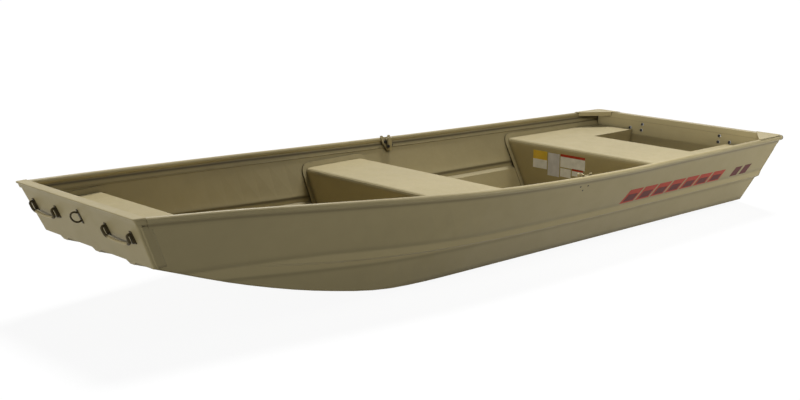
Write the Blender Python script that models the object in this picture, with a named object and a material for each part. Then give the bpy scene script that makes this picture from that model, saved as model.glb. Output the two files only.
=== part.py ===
"""A 12 ft aluminium jon boat: pressed bottom and side sheets, raked bow panel and transom,
extruded gunwales, two box benches, a bow deck and the fittings riveted to them.

Metres, +Z up, +X towards the bow, +Y to port. While the pieces are made, x counts from the
transom's top edge and z from the chine's lowest line; a parent empty then sets the boat's
bottom on z = 0 with the middle of its box over the origin.
"""

import math

import bmesh
import bpy
import numpy as np
from mathutils import Vector

# Hull lines. Columns: share of the length, half beam, gunwale top, half bottom, chine height.
LINES = np.array([
    (0.0, 0.588, 0.345, 0.419, 0.000),
    (0.2, 0.614, 0.350, 0.419, 0.000),
    (0.4, 0.641, 0.356, 0.420, 0.000),
    (0.6, 0.622, 0.378, 0.420, 0.000),
    (0.7, 0.578, 0.397, 0.416, 0.006),
    (0.8, 0.518, 0.418, 0.404, 0.059),
    (0.9, 0.455, 0.439, 0.384, 0.147),
    (1.0, 0.402, 0.455, 0.366, 0.264),
])
# The pressed step in the sides. Columns: share of the length, height of its top knuckle,
# how much of the press is left there.
STEP_LINE = np.array([
    (0.0, 0.161, 1.0),
    (0.4, 0.164, 1.0),
    (0.6, 0.172, 1.0),
    (0.75, 0.198, 0.9),
    (0.85, 0.232, 0.5),
    (0.95, 0.285, 0.0),
    (1.0, 0.325, 0.0),
])

LENGTH = 3.66             # transom top edge to bow top edge
TRANSOM_RAKE = 0.089      # how far the transom's foot stands forward of its top
BOW_RAKE = 0.087          # how far the bow panel's foot stands aft of its top
SKIN = 0.002              # hull sheet
BENCH_SHEET = 0.002       # bench and deck sheet
GAP = 0.0003              # between pieces that touch
LEAN_ALLOWANCE = 1.15     # a leaning sheet measures this much thicker along an axis
SAG_ALLOWANCE = 0.0009    # the sides run straight between stations, this far inside the curve

STEP_BAND = 0.028         # height of the step's upright band
STEP_LEDGE_DROP = 0.012   # fall of the ledge under the band
STEP_LEDGE_OUT = 0.015    # how far the ledge's outer edge stands out of the side's line
STEP_TOP_OUT = 0.008      # how far the top knuckle stands out of the side's line

STRAKE_SPACING = 0.225    # centre to centre of the three pressed runners
STRAKE_DEPTH = 0.012
STRAKE_BASE = 0.060
STRAKE_SOLE = 0.028

GUNWALE_TUBE = 0.012      # radius of the extrusion's bulb
GUNWALE_LEG = 0.002       # wall of the two legs that grip the side sheet
GUNWALE_OUTER_LEG = 0.018
GUNWALE_INNER_LEG = 0.030
GUNWALE_LIP = 0.0045      # bead along the inner leg's foot

BENCH_FLANGE = 0.022      # turned-up ends that lie against the sides
BENCH_RADIUS = 0.022      # rounded front and aft edges
CENTRE_BENCH_AFT = 1.805
CENTRE_BENCH_DEPTH = 0.370
CENTRE_BENCH_TOP = 0.285
AFT_BENCH_FORE = 0.800
AFT_BENCH_TOP = 0.270
WELL_FORE = 0.390         # forward end of the motor's well in the aft bench
WELL_HALF = 0.305
DECK_DEPTH = 0.355        # back from the bow's top edge
DECK_TOP = 0.361
DECK_RADIUS = 0.010
NOTCH_FALL = 0.044        # relief notch in the deck's flanges, from the top down
NOTCH_IN = 0.005          # and into the deck

BOARD_THICKNESS = 0.030   # wooden core of the transom
BOARD_FOOT = 0.030
TRANSOM_CAP_LIP = 0.026
BOW_CAP_DEPTH = 0.036
BOW_CAP_LIP = 0.024
BOW_CAP_NOSE = 0.0045     # radius of the half round along its front and ends
BOW_CAP_CORNER = 0.004    # its rounded corners, seen from above
PANEL_FLANGE = 0.018      # bow panel's edge folded along the sides
PANEL_RADIUS = 0.007
CORNER_TRIM = 0.0055      # cut off the hull sheets' forward corners, inside the panel's fold

GUSSET_ALONG = 0.210      # corner plate, along the gunwale
GUSSET_ACROSS = 0.155     # and along the transom
GUSSET_LIP = 0.022
GUSSET_CORNER = 0.030     # its cut outer corner

HANDLE_CENTRE = 0.250     # bow handles, out from the centreline
HANDLE_BELOW_CAP = 0.033  # bow cap's foot to the top of the arms' pads
HANDLE_SPAN = 0.160
HANDLE_ARM = 0.037        # height of the arms, along the panel
HANDLE_BAR = 0.005        # radius of the bent rod
HANDLE_PAD = 0.007        # half width of an arm's pad
HANDLE_PAD_MARGIN = 0.006 # pad above and below the arm
HANDLE_REACH = 0.016      # how far the grip stands off the pads
HANDLE_DROP = 0.041       # the grip's middle, below the top of the arms
PAD_THICKNESS = 0.003

EYE_BAR = 0.0034          # radius of the U-bolts' rod
BOW_EYE_BELOW_CAP = 0.017 # bow cap's foot to the top of the eye's plate
BOW_EYE_LEGS = 0.031
BOW_EYE_REACH = 0.036
BOW_EYE_BELLY = 1.22      # how much wider than its legs the loop is
STERN_EYE_OUT = 0.245
STERN_EYE_BELOW_CAP = 0.006
STERN_EYE_LEGS = 0.032
STERN_EYE_REACH = 0.030
STERN_EYE_BELLY = 1.0
EYE_PLATE = 0.003
EYE_PLATE_MARGIN = 0.0105

OARLOCK_AT = 1.628        # along the hull
OARLOCK_BOSS = 0.0115     # radius of the socket
OARLOCK_BORE = 0.0065
OARLOCK_DEPTH = 0.050     # how far the shield reaches below the side sheet's top
OARLOCK_EAR = 0.004       # how far the ears rise above the gunwale
OARLOCK_PLATE = 0.004
OARLOCK_WIDTH = 0.062

PLUG_FLANGE = 0.016       # drain plug's radius
PLUG_DEPTH = 0.006
PLUG_HEIGHT = 0.030
PLUG_OUT = 0.060

HULL_PAINT = (0.285, 0.235, 0.130)
FITTING_PAINT = (0.240, 0.200, 0.115)
PLUG_GREY = (0.180, 0.170, 0.150)
BRASS = (0.560, 0.400, 0.160)


def material(name, colour, roughness=0.45, metallic=0.0):
    """A Principled material, made once for each name."""
    made = bpy.data.materials.get(name)
    if made is None:
        made = bpy.data.materials.new(name)
        made.use_nodes = True
        shader = made.node_tree.nodes["Principled BSDF"]
        shader.inputs["Base Color"].default_value = (*colour, 1.0)
        shader.inputs["Roughness"].default_value = roughness
        shader.inputs["Metallic"].default_value = metallic
    return made


def curve_through(shares, values):
    """A smooth curve through a table's column: cubic pieces whose slopes never overshoot."""
    steps = np.diff(values) / np.diff(shares)
    slopes = np.concatenate([[steps[0]], (steps[:-1] + steps[1:]) / 2, [steps[-1]]])
    for i in range(1, len(values) - 1):
        if steps[i - 1] * steps[i] <= 0:
            slopes[i] = 0.0
    for i, step in enumerate(steps):
        limit = 3 * abs(step)
        slopes[i] = np.clip(slopes[i], -limit, limit)
        slopes[i + 1] = np.clip(slopes[i + 1], -limit, limit)

    def value(share):
        i = int(np.clip(np.searchsorted(shares, share) - 1, 0, len(steps) - 1))
        width = shares[i + 1] - shares[i]
        u = (share - shares[i]) / width
        return (values[i] * (1 + 2 * u) * (1 - u) ** 2 + values[i + 1] * u * u * (3 - 2 * u)
                + width * (slopes[i] * u * (1 - u) ** 2 + slopes[i + 1] * u * u * (u - 1)))

    return value


half_beam, gunwale_top, half_bottom, chine_height = (
    curve_through(LINES[:, 0], LINES[:, column]) for column in range(1, 5))
step_height, step_left = (curve_through(STEP_LINE[:, 0], STEP_LINE[:, column]) for column in (1, 2))


def station_x(share, z):
    """Where the station at this share of the length stands, at height z: the stations lean
    from the transom's rake to the bow's."""
    low = chine_height(share)
    high = gunwale_top(share)
    foot = TRANSOM_RAKE + share * (LENGTH - BOW_RAKE - TRANSOM_RAKE)
    return foot + (share * LENGTH - foot) * (z - low) / (high - low)


def bow_face(z):
    """Where the bow panel's front stands at height z."""
    return station_x(1.0, z) + GAP + SKIN * LEAN_ALLOWANCE


def stern_face(z):
    """Where the transom sheet's aft face stands at height z."""
    return station_x(0.0, z) - GAP - SKIN


def share_at(x, z):
    """The station that passes through x at height z."""
    low, high = -0.05, 1.05
    for _ in range(40):
        middle = (low + high) / 2
        if station_x(middle, z) < x:
            low = middle
        else:
            high = middle
    return (low + high) / 2


def flare(share):
    """The side's direction from chine to gunwale, in the station: (across, up)."""
    line = Vector((half_beam(share) - GUNWALE_TUBE - half_bottom(share),
                   gunwale_top(share) - GUNWALE_TUBE - chine_height(share)))
    return line.normalized()


def sheet_top(share):
    """The side sheet's upper edge, under the gunwale's bulb: (y, z)."""
    up = flare(share)
    out = Vector((up.y, -up.x))
    bulb = Vector((half_beam(share) - GUNWALE_TUBE, gunwale_top(share) - GUNWALE_TUBE))
    return bulb - up * (GUNWALE_TUBE + GAP) + out * SKIN / 2


def side_line(share, z):
    """Half breadth of the side's straight line from chine to sheet top, at height z."""
    top = sheet_top(share)
    low = chine_height(share)
    return half_bottom(share) + (top.x - half_bottom(share)) * (z - low) / (top.y - low)


def side_section(share):
    """The side's outer line at a station, chine to gunwale, with the pressed step: (y, z)."""
    foot = chine_height(share) + SKIN * LEAN_ALLOWANCE + GAP
    knuckle = step_height(share)
    band_foot = knuckle - STEP_BAND
    ledge_foot = band_foot - STEP_LEDGE_DROP
    left = max(step_left(share), 0.0)
    top = sheet_top(share)
    shoulder = Vector((side_line(share, knuckle) + STEP_TOP_OUT * left, knuckle))
    under_leg = top - (top - shoulder).normalized() * (GUNWALE_INNER_LEG + 2 * GUNWALE_LEG)
    return [
        (side_line(share, foot), foot),
        (side_line(share, ledge_foot), ledge_foot),
        (side_line(share, band_foot) + STEP_LEDGE_OUT * left, band_foot),
        tuple(shoulder),
        tuple(under_leg),
        (top.x, top.y),
    ]


def bottom_section(share):
    """The bottom's outer line at a station, starboard chine to port chine: (y, z)."""
    edge = half_bottom(share)
    base = chine_height(share)
    line = [(-edge, base)]
    for centre in (-STRAKE_SPACING, 0.0, STRAKE_SPACING):
        line += [
            (centre - STRAKE_BASE / 2, base),
            (centre - STRAKE_SOLE / 2, base - STRAKE_DEPTH),
            (centre + STRAKE_SOLE / 2, base - STRAKE_DEPTH),
            (centre + STRAKE_BASE / 2, base),
        ]
    line.append((edge, base))
    return line


def hull_shares(last=1.0):
    """Stations along the hull up to a last one, closer together where the bow curves up."""
    even = np.linspace(0.0, 0.6, 14)[:-1]
    curved = np.linspace(0.6, 1.0, 16)
    return [float(share) for share in np.concatenate([even, curved]) if share < last] + [last]


def add_object(name, mesh, paint):
    """An object for a mesh, with its material and the hull's parent."""
    piece = bpy.data.objects.new(name, mesh)
    mesh.materials.append(paint)
    bpy.context.scene.collection.objects.link(piece)
    piece.parent = bpy.data.objects["hull_datum"]
    return piece


def smooth(piece, angle=30.0):
    """Round faces shade smooth, folds stay sharp."""
    piece.data.shade_smooth()
    piece.data.set_sharp_from_angle(angle=math.radians(angle))
    return piece


def grid_faces(rows, columns, closed=False):
    """Quads of a grid of points, row by row; closed joins the last column to the first."""
    faces = []
    for i in range(rows - 1):
        for j in range(columns if closed else columns - 1):
            k = (j + 1) % columns
            faces.append((i * columns + j, i * columns + k,
                          (i + 1) * columns + k, (i + 1) * columns + j))
    return faces


def sheet(name, grid, facing, thickness, paint):
    """Sheet metal: a grid of points on its outer face, thickened behind that face.
    facing is roughly the way the outer face looks."""
    grid = np.asarray(grid, dtype=float)
    rows, columns = grid.shape[:2]
    mesh = bpy.data.meshes.new(name)
    mesh.from_pydata(grid.reshape(-1, 3).tolist(), [], grid_faces(rows, columns))
    mesh.update()
    looks = sum((Vector(face.normal) * face.area for face in mesh.polygons), Vector())
    if looks.dot(Vector(facing)) < 0:
        mesh.flip_normals()
    piece = add_object(name, mesh, paint)
    wall = piece.modifiers.new("wall", "SOLIDIFY")
    wall.thickness = thickness
    wall.offset = -1.0
    wall.use_even_offset = True
    wall.use_quality_normals = True
    return smooth(piece)


def loft(name, rings, paint):
    """A solid through closed rings of points, with a flat cap at each end."""
    rings = np.asarray(rings, dtype=float)
    count, around = rings.shape[:2]
    faces = grid_faces(count, around, closed=True)
    faces.append(tuple(range(around)))
    faces.append(tuple(range((count - 1) * around, count * around)))
    mesh = bpy.data.meshes.new(name)
    mesh.from_pydata(rings.reshape(-1, 3).tolist(), [], faces)
    work = bmesh.new()
    work.from_mesh(mesh)
    bmesh.ops.recalc_face_normals(work, faces=work.faces)
    work.to_mesh(mesh)
    work.free()
    return smooth(add_object(name, mesh, paint))


def rod(name, path, radius, paint, sides=8):
    """A round rod along a path of points: each ring stands square to the path there."""
    path = [Vector(point) for point in path]
    ahead = [(b - a).normalized() for a, b in zip(path[:-1], path[1:])]
    tangents = [ahead[0]] + [(a + b).normalized() for a, b in zip(ahead[:-1], ahead[1:])]
    tangents.append(ahead[-1])
    side = tangents[0].orthogonal().normalized()
    rings = []
    for point, tangent in zip(path, tangents):
        side = (side - tangent * side.dot(tangent)).normalized()
        other = tangent.cross(side)
        rings.append([point + radius * (math.cos(a) * side + math.sin(a) * other)
                      for a in np.linspace(0, 2 * math.pi, sides, endpoint=False)])
    return loft(name, rings, paint)


def fuse(piece, helpers, operation="UNION"):
    """Joins or cuts a piece with helper solids, which stay as hidden guides."""
    for helper in helpers:
        helper.hide_render = True
        helper.display_type = "WIRE"
        step = piece.modifiers.new(helper.name, "BOOLEAN")
        step.operation = operation
        step.object = helper
    return piece


def block(name, low, high, paint):
    """A plain block between two corners."""
    (x0, y0, z0), (x1, y1, z1) = low, high
    outline = [(y0, z0), (y1, z0), (y1, z1), (y0, z1)]
    return loft(name, [[(x, y, z) for y, z in outline] for x in (x0, x1)], paint)


def make_bottom(paint):
    """The bottom: one sheet with three pressed runners and the rocker of the bow. Its two
    forward corners are trimmed to clear the bow panel's fold."""
    shares = hull_shares()
    shares.insert(-1, 1.0 - CORNER_TRIM / LENGTH)
    grid = [[(station_x(share, z), y, z) for y, z in bottom_section(share)] for share in shares]
    for end, trim in ((0, CORNER_TRIM), (-1, -CORNER_TRIM)):
        x, y, z = grid[-1][end]
        grid[-1][end] = (x, y + trim, z)
    sheet("bottom_sheet", grid, (0, 0, -1), SKIN, paint)


def make_side(name, side, paint):
    """A flared side sheet with its pressed step; side is 1 for port, -1 for starboard."""
    grid = [[(station_x(share, z), side * y, z) for y, z in side_section(share)]
            for share in hull_shares(1.0 - CORNER_TRIM / LENGTH)]
    sheet(name, grid, (0, side, 0), SKIN, paint)


def gunwale_profile():
    """The extrusion around the sheet's upper edge: (out, up) from the sheet's outer top edge.
    A bulb on top, a short leg outside and a longer leg with a bead inside."""
    centre = Vector((-SKIN / 2, GUNWALE_TUBE + GAP))
    outer = GAP
    inner = -SKIN - GAP
    spread = math.asin((GAP + SKIN / 2 + GUNWALE_LEG) / GUNWALE_TUBE)
    bulb = [centre + GUNWALE_TUBE * Vector((math.sin(a), -math.cos(a)))
            for a in np.linspace(spread, 2 * math.pi - spread, 15)]
    return [
        (outer + GUNWALE_LEG, -GUNWALE_OUTER_LEG),
        *[tuple(point) for point in bulb],
        (inner - GUNWALE_LEG, -GUNWALE_INNER_LEG + 2 * GUNWALE_LEG),
        (inner - GUNWALE_LIP, -GUNWALE_INNER_LEG + GUNWALE_LEG),
        (inner - GUNWALE_LIP, -GUNWALE_INNER_LEG),
        (inner, -GUNWALE_INNER_LEG),
        (inner, GAP),
        (outer, GAP),
        (outer, -GUNWALE_OUTER_LEG),
    ]


def gunwale_ring(share, side):
    """The gunwale's profile at one station, in line with the side's upper panel."""
    knuckle, top = (Vector(point) for point in side_section(share)[-2:])
    up = (top - knuckle).normalized()
    out = Vector((up.y, -up.x))
    ring = []
    for across, rise in gunwale_profile():
        spot = top + out * across + up * rise
        ring.append((station_x(share, spot.y), side * spot.x, spot.y))
    return ring


def make_gunwale(name, side, paint):
    """The gunwale extrusion, from the transom to the bow cap."""
    last = 1.0 - (BOW_CAP_DEPTH + 5 * GAP) / LENGTH
    loft(name, [gunwale_ring(share, side) for share in hull_shares(last)], paint)


def make_gunwale_plug(name, side, paint):
    """The round plug that closes the gunwale's aft end."""
    centre_y = side * (half_beam(0.0) - GUNWALE_TUBE)
    centre_z = gunwale_top(0.0) - GUNWALE_TUBE
    rings = []
    for back, radius in ((0.0, 1.0), (0.006, 1.0), (0.010, 0.75), (0.012, 0.35)):
        ring = []
        for a in np.linspace(0, 2 * math.pi, 14, endpoint=False):
            y = centre_y + GUNWALE_TUBE * radius * math.cos(a)
            z = centre_z + GUNWALE_TUBE * radius * math.sin(a)
            ring.append((station_x(0.0, z) - GAP - back, y, z))
        rings.append(ring)
    loft(name, rings, paint)


def hull_outline(share, top):
    """Half of a station's outline, chine upwards, ending at height top beside the bulb."""
    bulb_y = half_beam(share) - 2 * GUNWALE_TUBE - 2 * GAP
    bulb_z = gunwale_top(share) - 2 * GUNWALE_TUBE - 4 * GAP
    line = side_section(share)
    line[0] = (half_bottom(share), chine_height(share))
    line[-1] = (side_line(share, bulb_z), bulb_z)
    return line + [(bulb_y, bulb_z), (bulb_y, top)]


def make_transom(paint):
    """The transom's outer sheet: the shape of the hull's aft station, clear of the bulbs."""
    top = gunwale_top(0.0) - SKIN - 2 * GAP
    port = hull_outline(0.0, top)
    starboard = [(-y, z) for y, z in reversed(port)]
    outline = port + starboard + bottom_section(0.0)[1:-1]
    wall = SKIN
    rings = [[(station_x(0.0, z) - GAP - back, y, z) for y, z in outline] for back in (0.0, wall)]
    loft("transom_sheet", rings, paint)


def make_transom_board(paint):
    """The transom's wooden core, inside the outer sheet and between the sides."""
    top = gunwale_top(0.0) - SKIN - 2 * GAP
    shoulder = gunwale_top(0.0) - 2 * GUNWALE_TUBE - GUNWALE_INNER_LEG - 0.004
    rings = []
    for ahead in (GAP, GAP + BOARD_THICKNESS):
        ring = []
        inset = 2 * SKIN
        wide = side_line(0.0, shoulder) - inset
        narrow = half_beam(0.0) - 2 * GUNWALE_TUBE - 0.012
        narrow = min(narrow, side_line(0.0, shoulder) - inset)
        foot = side_line(0.0, BOARD_FOOT) - inset
        half = [(foot, BOARD_FOOT), (wide, shoulder), (narrow, shoulder + 0.001), (narrow, top)]
        for y, z in half + [(-y, z) for y, z in reversed(half)]:
            ring.append((station_x(0.0, z) + ahead, y, z))
        rings.append(ring)
    loft("transom_board", rings, paint)


def make_transom_cap(paint):
    """The channel folded over the transom's top edge, between the gunwales."""
    top = gunwale_top(0.0)
    half = half_beam(0.0) - 2 * GUNWALE_TUBE - 2 * GAP
    aft = -GAP - SKIN - GAP - SKIN
    fore = GAP + BOARD_THICKNESS + GAP + SKIN
    foot = top - TRANSOM_CAP_LIP
    rows = [(station_x(0.0, foot) + aft, foot), (station_x(0.0, top) + aft, top),
            (station_x(0.0, top) + fore, top), (station_x(0.0, foot) + fore, foot)]
    grid = [[(x, y, z) for y in (-half, half)] for x, z in rows]
    sheet("transom_cap", grid, (0, 0, 1), SKIN, paint)


def make_bow_panel(paint):
    """The raked bow panel, its lower edge cut to the runners and its ends folded aft."""
    top = gunwale_top(1.0) - SKIN * 1.5 - 2 * GAP
    profile = bottom_section(1.0)[1:-1]
    grid = []
    low = chine_height(1.0)
    stand = GAP + SKIN * LEAN_ALLOWANCE
    aside = stand + 2 * GAP
    for level in (0.0, 0.5, 1.0):
        row = []
        z = low + (top - low) * level
        x = station_x(1.0, z) + stand
        edge = side_line(1.0, z) + aside
        tip_x = x - PANEL_FLANGE
        tip_y = side_line(share_at(tip_x, z), z) + aside
        arc = [(x - PANEL_RADIUS * (1 - math.cos(a)), edge - PANEL_RADIUS * (1 - math.sin(a)))
               for a in np.linspace(math.pi / 2, 0, 4)]
        fold = [(tip_x, tip_y)] + arc
        row += [(fx, -fy, z) for fx, fy in fold]
        for y, height in profile:
            drop = (height - low) * (1.0 - level)
            spread = 1.0 + (edge / (half_bottom(1.0) + aside) - 1.0) * level
            zz = z + drop
            row.append((station_x(1.0, zz) + stand, y * spread, zz))
        row += [(fx, fy, z) for fx, fy in reversed(fold)]
        grid.append(row)
    sheet("bow_panel", grid, (1, 0, 0), SKIN, paint)


def make_bow_cap(paint):
    """The folded cap over the bow panel's top edge and the hull's two forward corners, with a
    half-round nose along its front and ends."""
    top = gunwale_top(1.0)
    half = half_beam(1.0) - BOW_CAP_NOSE
    aft_half = half_beam(1.0 - BOW_CAP_DEPTH / LENGTH) - BOW_CAP_NOSE
    fore = GAP + SKIN * LEAN_ALLOWANCE + GAP + SKIN * LEAN_ALLOWANCE
    levels = [(top - BOW_CAP_LIP, 0.0)]
    for a in np.linspace(0.0, math.pi, 9):
        levels.append((top - BOW_CAP_NOSE * (1 + math.cos(a)), BOW_CAP_NOSE * math.sin(a)))

    rings = []
    for z, swell in levels:
        turn = BOW_CAP_CORNER + swell
        port = [(fore + swell - turn * (1 - math.sin(a)), half + swell - turn * (1 - math.cos(a)))
                for a in np.linspace(0.0, math.pi / 2, 5)]
        outline = [(-BOW_CAP_DEPTH, aft_half + swell)] + port
        outline += [(x, -y) for x, y in reversed(outline)]
        rings.append([(station_x(1.0, z) + x, y, z) for x, y in outline])
    cap = loft("bow_cap", rings, paint)

    hollow_rings = []
    for z in (top - 2 * BOW_CAP_LIP, top - SKIN):
        aft, front = SKIN - BOW_CAP_DEPTH, fore - SKIN
        corners = ((aft, aft_half - SKIN), (front, half - SKIN), (front, SKIN - half), (aft, SKIN - aft_half))
        hollow_rings.append([(station_x(1.0, z) + x, y, z) for x, y in corners])
    hollow = loft("cutter_bow_cap", hollow_rings, paint)
    fuse(cap, [hollow], "DIFFERENCE")


def bench_rows(aft, fore, top, radius, aft_foot, fore_foot):
    """A bench's line in side view, as (x, z, normal x, normal z): up the aft riser, over the
    top and down the forward riser. A foot of None leaves that riser out."""
    rows = []
    turn = [(math.cos(a), math.sin(a)) for a in np.linspace(math.pi, math.pi / 2, 5)]
    if aft_foot is None:
        rows.append((aft, top, 0.0, 1.0))
    else:
        rows.append((aft, aft_foot, -1.0, 0.0))
        for nx, nz in turn:
            rows.append((aft + radius * (1 + nx), top - radius * (1 - nz), nx, nz))
    first = rows[-1][0]
    last = fore if fore_foot is None else fore - radius
    for x in np.linspace(first, last, 5)[1:-1]:
        rows.append((float(x), top, 0.0, 1.0))
    if fore_foot is None:
        rows.append((fore, top, 0.0, 1.0))
    else:
        for nx, nz in reversed(turn):
            rows.append((fore - radius * (1 + nx), top - radius * (1 - nz), -nx, nz))
        rows.append((fore, fore_foot, 1.0, 0.0))
    return rows


def inside_half(x, z):
    """Half breadth for a bench end that lies against the inside of the side sheet."""
    share = share_at(x, z)
    lean = flare(share).y
    return side_line(share, z) - (SKIN + BENCH_SHEET + GAP) / lean - SAG_ALLOWANCE


def bench_grid(rows):
    """The bench's sheet: its line swept across the hull, with the ends turned out square to
    the sheet so that they lie along the sides."""
    grid = []
    for x, z, nx, nz in rows:
        tip_x = x + BENCH_FLANGE * nx
        tip_z = z + BENCH_FLANGE * nz
        near = inside_half(x, z)
        tip = inside_half(tip_x, tip_z)
        grid.append([(tip_x, -tip, tip_z), (x, -near, z), (x, 0.0, z), (x, near, z), (tip_x, tip, tip_z)])
    return grid


def floor_over(x):
    """Where a riser at x ends: just over the inside of the bottom, between the runners, with
    room for the flanges, which lean out with the sides and so reach a little lower."""
    height = 0.0
    for _ in range(12):
        height = chine_height(share_at(x, height))
    return height + SKIN * LEAN_ALLOWANCE + BENCH_SHEET * 0.6 + GAP


def make_centre_bench(paint):
    """The centre bench: one folded sheet, floor to floor."""
    fore = CENTRE_BENCH_AFT + CENTRE_BENCH_DEPTH
    rows = bench_rows(CENTRE_BENCH_AFT, fore, CENTRE_BENCH_TOP, BENCH_RADIUS,
                      floor_over(CENTRE_BENCH_AFT), floor_over(fore))
    sheet("centre_bench", bench_grid(rows), (0, 0, 1), BENCH_SHEET, paint)


def make_aft_bench(paint):
    """The aft bench: a folded sheet whose top is cut out around the motor's well, with a
    U of upright sheet round the cut."""
    aft = station_x(0.0, AFT_BENCH_TOP) + 2 * GAP + BOARD_THICKNESS + BENCH_SHEET
    rows = bench_rows(aft, AFT_BENCH_FORE, AFT_BENCH_TOP, BENCH_RADIUS, None, floor_over(AFT_BENCH_FORE))
    bench = sheet("aft_bench", bench_grid(rows), (0, 0, 1), BENCH_SHEET, paint)
    lap = BENCH_SHEET / 4
    high = AFT_BENCH_TOP + BENCH_FLANGE
    cutter = block("cutter_aft_bench", (aft - 0.1, -WELL_HALF, AFT_BENCH_TOP / 2),
                   (WELL_FORE, WELL_HALF, high), paint)
    fuse(bench, [cutter], "DIFFERENCE")
    floor = floor_over(WELL_FORE)
    inner = [(WELL_FORE + lap, WELL_HALF + lap)]
    outer = [(WELL_FORE + lap + BENCH_SHEET, WELL_HALF + lap + BENCH_SHEET)]
    (ix, iy), (ox, oy) = inner[0], outer[0]
    rings = []
    for z in (floor, AFT_BENCH_TOP - BENCH_SHEET / 2):
        start = station_x(0.0, z) + 2 * GAP + BOARD_THICKNESS
        rings.append([(start, -oy, z), (ox, -oy, z), (ox, oy, z), (start, oy, z),
                      (start, iy, z), (ix, iy, z), (ix, -iy, z), (start, -iy, z)])
    well = loft("guide_aft_bench_well", rings, paint)
    fuse(bench, [well])


def make_deck(paint):
    """The bow deck: a flat top with an aft riser down to the hull, and a relief notch in each
    flange where the sheet bends down."""
    aft = LENGTH - DECK_DEPTH
    fore = station_x(1.0, DECK_TOP - BENCH_SHEET) - GAP
    rows = bench_rows(aft, fore, DECK_TOP, DECK_RADIUS, floor_over(aft), None)
    deck = sheet("bow_deck", bench_grid(rows), (0, 0, 1), BENCH_SHEET, paint)
    notches = []
    for side in (1, -1):
        rings = []
        for z in (DECK_TOP - NOTCH_FALL, DECK_TOP - BENCH_SHEET * 2):
            inner = inside_half(aft, z) - NOTCH_IN
            outer = inner + NOTCH_IN + BENCH_FLANGE
            back, fore = aft - BENCH_FLANGE * 1.5, aft + DECK_RADIUS / 2
            rings.append([(back, side * inner, z), (fore, side * inner, z),
                          (fore, side * outer, z), (back, side * outer, z)])
        notches.append(loft("cutter_bow_deck_%d" % side, rings, paint))
    fuse(deck, notches, "DIFFERENCE")


def make_gusset(name, side, paint):
    """A corner plate over the gunwale and the transom cap, its inner edge folded down."""
    lift = 2 * GAP + SKIN

    def on_top(x, y):
        return (x, side * y, gunwale_top(share_at(x, gunwale_top(0.0))) + lift)

    aft = -GAP - 2 * SKIN
    outer_fore = half_beam(GUSSET_ALONG / LENGTH) - GUNWALE_TUBE / 2
    inner_fore = outer_fore - GUNWALE_TUBE
    transom_inner = half_beam(0.0) - GUSSET_ACROSS
    outer_aft = half_beam(0.0) - GUNWALE_TUBE / 2
    inner_a = on_top(aft, transom_inner)
    inner_b = on_top(GUSSET_ALONG, inner_fore)
    rows = [
        [on_top(aft, outer_aft - GUSSET_CORNER / 2), inner_a],
        [on_top(aft + GUSSET_CORNER / 2, outer_aft), inner_b],
        [on_top(GUSSET_ALONG, outer_fore), inner_b],
    ]
    outline = [rows[0][0], rows[1][0], rows[2][0], inner_b, inner_a]
    rings = [[(x, y, z - drop) for x, y, z in outline] for drop in (0.0, SKIN)]
    plate = loft(name, rings, paint)
    along = Vector(inner_b) - Vector(inner_a)
    across = Vector((along.y, -along.x, 0)).normalized() * side
    board_face = stern_face(gunwale_top(0.0) - GUSSET_LIP) + 2 * SKIN + BOARD_THICKNESS + 6 * GAP
    bulb_face = half_beam(GUSSET_ALONG / LENGTH) - 2 * GUNWALE_TUBE - 10 * GAP
    start = Vector(inner_a) + along * ((board_face - inner_a[0]) / along.x)
    end = Vector(inner_a) + along * ((bulb_face - abs(inner_a[1])) / abs(along.y))
    inward = -across * SKIN
    lap = Vector((0, 0, SKIN / 4))
    fall = Vector((0, 0, GUSSET_LIP))
    shift = across * -SKIN / 4
    lip_rings = []
    for spot in (start, end):
        spot = spot + shift
        lip_rings.append([spot - lap, spot - lap + inward, spot - fall + inward, spot - fall])
    lip = loft("guide_" + name + "_lip", lip_rings, paint)
    fuse(plate, [lip])


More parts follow.
